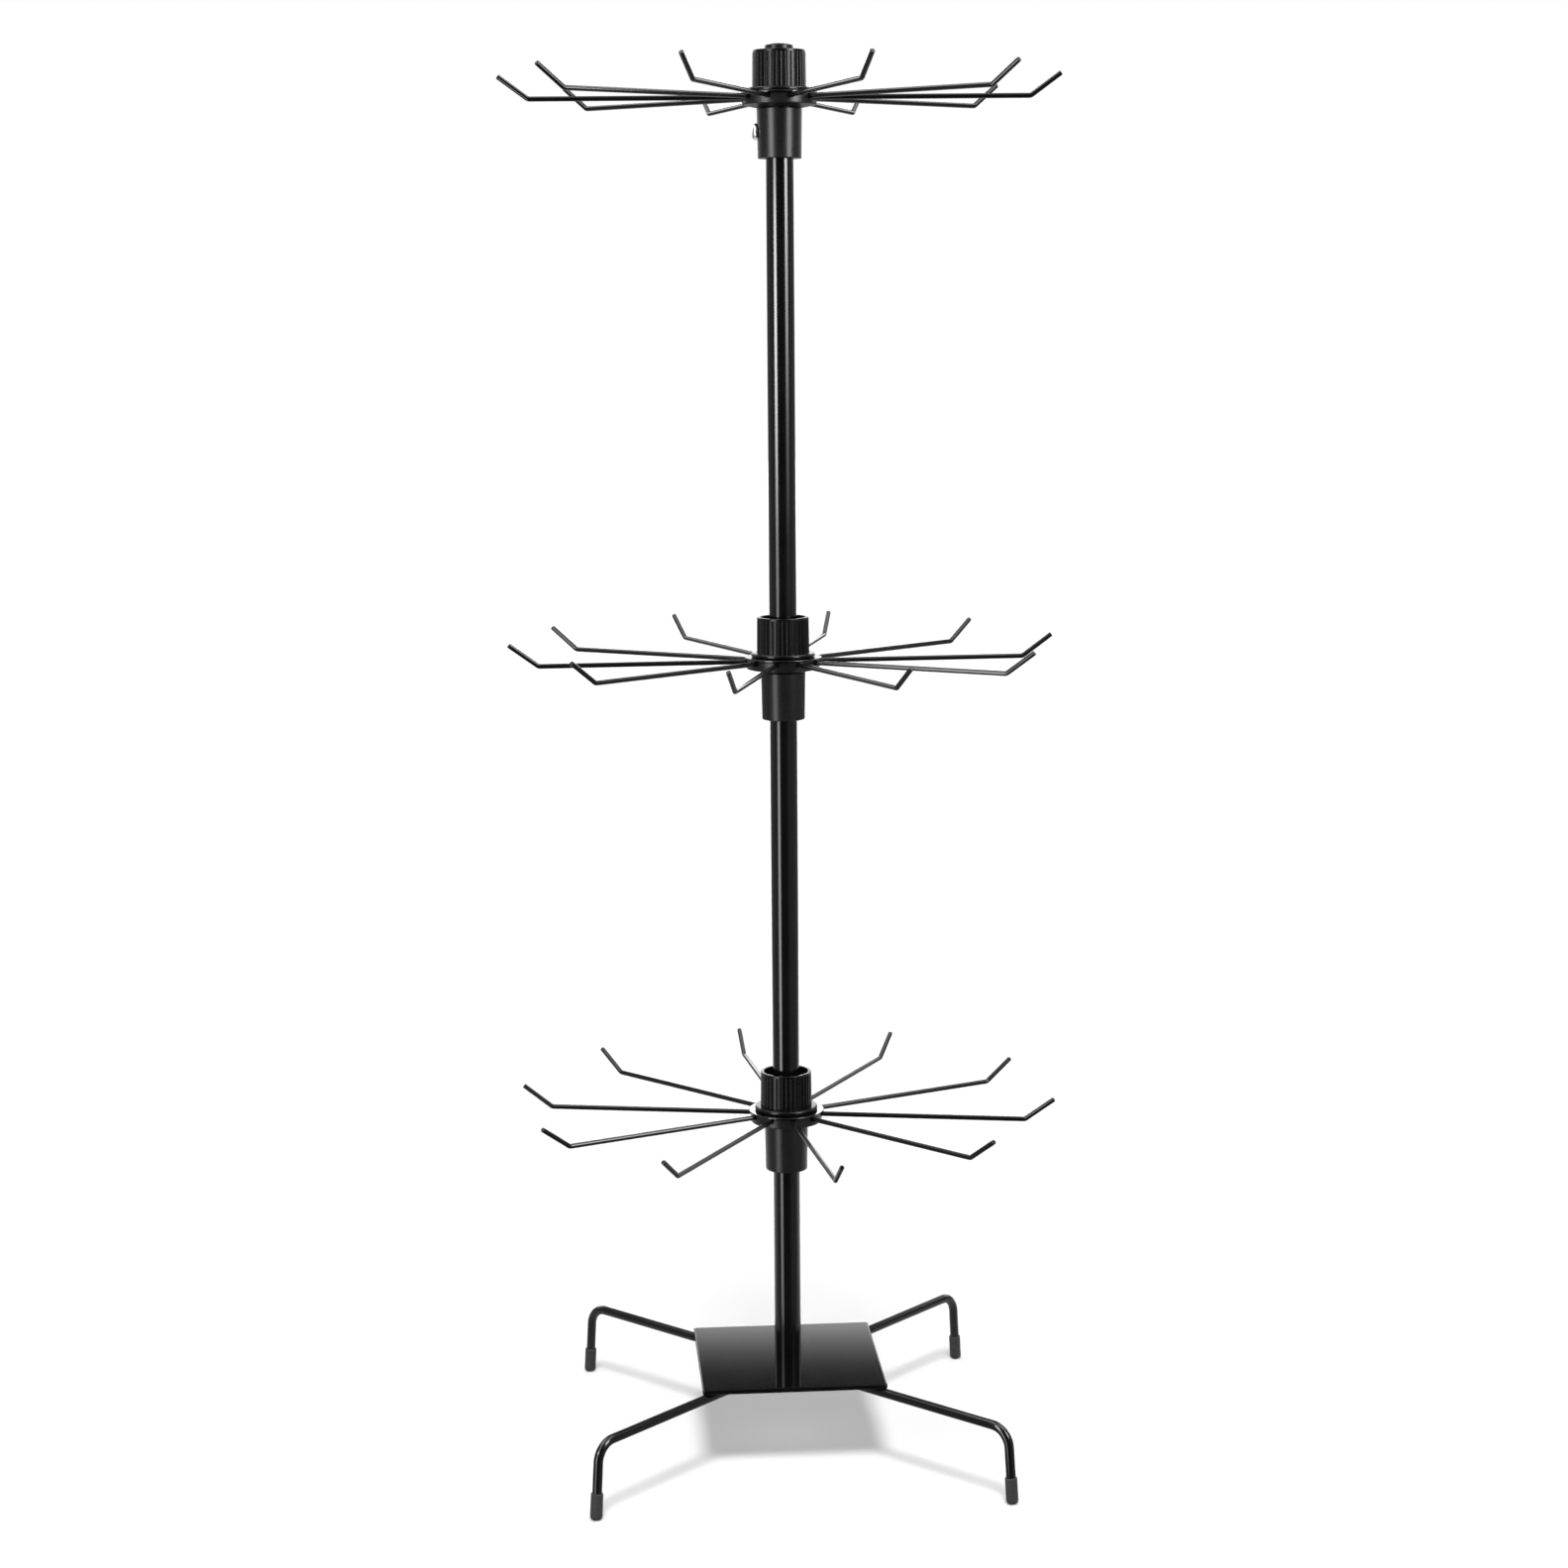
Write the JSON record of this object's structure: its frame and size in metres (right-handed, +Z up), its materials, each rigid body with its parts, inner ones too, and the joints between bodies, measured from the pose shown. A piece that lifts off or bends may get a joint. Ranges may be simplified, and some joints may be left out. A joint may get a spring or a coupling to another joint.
{
  "type": "rotating display rack",
  "caption": "Counter-top display rack: a slim pole on a four-legged plate base carries tiers of radial hook wires, each tier turning freely and sliding to a set height.",
  "frame": {"origin": "on the floor under the pole's axis, between the four feet", "axes": "+Z up along the pole, -Y towards the front"},
  "size_m": [0.3246, 0.3192, 0.8348],
  "materials": {
    "powder_coat": "gloss black powder coat",
    "wire_coat": "gloss black powder coat on round wire",
    "ring_enamel": "high-gloss black enamel",
    "hub_plastic": "satin black moulded plastic",
    "foot_rubber": "matt dark grey rubber",
    "zinc_steel": "bright zinc plate"
  },
  "bodies": {
    "stand": {"base_plate": "powder_coat", "base_bolt": "zinc_steel", "leg_back_right": "powder_coat", "foot_back_right": "foot_rubber", "leg_back_left": "powder_coat", "foot_back_left": "foot_rubber", "leg_front_left": "powder_coat", "foot_front_left": "foot_rubber", "leg_front_right": "powder_coat", "foot_front_right": "foot_rubber", "lower_pole": "powder_coat", "upper_pole": "powder_coat", "pole_foot_plug": "zinc_steel", "pole_joiner": "zinc_steel", "top_cap": "hub_plastic"},
    "top_collar": {"top_stop_collar": "hub_plastic", "top_clamp_screw": "zinc_steel"},
    "top_wheel": {"top_hub": "hub_plastic", "top_clamp_ring": "ring_enamel", "top_grip_nut": "hub_plastic", "top_hook_01": "wire_coat", "top_hook_02": "wire_coat", "top_hook_03": "wire_coat", "top_hook_04": "wire_coat", "top_hook_05": "wire_coat", "top_hook_06": "wire_coat", "top_hook_07": "wire_coat", "top_hook_08": "wire_coat", "top_hook_09": "wire_coat", "top_hook_10": "wire_coat"},
    "middle_collar": {"middle_stop_collar": "hub_plastic", "middle_clamp_screw": "zinc_steel"},
    "middle_wheel": {"middle_hub": "hub_plastic", "middle_clamp_ring": "ring_enamel", "middle_grip_nut": "hub_plastic", "middle_hook_01": "wire_coat", "middle_hook_02": "wire_coat", "middle_hook_03": "wire_coat", "middle_hook_04": "wire_coat", "middle_hook_05": "wire_coat", "middle_hook_06": "wire_coat", "middle_hook_07": "wire_coat", "middle_hook_08": "wire_coat", "middle_hook_09": "wire_coat", "middle_hook_10": "wire_coat"},
    "bottom_collar": {"bottom_stop_collar": "hub_plastic", "bottom_clamp_screw": "zinc_steel"},
    "bottom_wheel": {"bottom_hub": "hub_plastic", "bottom_clamp_ring": "ring_enamel", "bottom_grip_nut": "hub_plastic", "bottom_hook_01": "wire_coat", "bottom_hook_02": "wire_coat", "bottom_hook_03": "wire_coat", "bottom_hook_04": "wire_coat", "bottom_hook_05": "wire_coat", "bottom_hook_06": "wire_coat", "bottom_hook_07": "wire_coat", "bottom_hook_08": "wire_coat", "bottom_hook_09": "wire_coat", "bottom_hook_10": "wire_coat"}
  },
  "joints": [
    {"name": "top_height", "type": "slide", "parent": "stand", "child": "top_collar", "axis": [0, 0, 1], "range_m": [-0.12, 0]},
    {"name": "top_spin", "type": "hinge", "parent": "top_collar", "child": "top_wheel", "pos_m": [0, 0, 0.8046], "axis": [0, 0, 1], "continuous": true},
    {"name": "middle_height", "type": "slide", "parent": "stand", "child": "middle_collar", "axis": [0, 0, 1], "range_m": [-0.1, 0.1]},
    {"name": "middle_spin", "type": "hinge", "parent": "middle_collar", "child": "middle_wheel", "pos_m": [0, 0, 0.4793], "axis": [0, 0, 1], "continuous": true},
    {"name": "bottom_height", "type": "slide", "parent": "stand", "child": "bottom_collar", "axis": [0, 0, 1], "range_m": [-0.1, 0.08]},
    {"name": "bottom_spin", "type": "hinge", "parent": "bottom_collar", "child": "bottom_wheel", "pos_m": [0, 0, 0.2039], "axis": [0, 0, 1], "continuous": true}
  ]
}
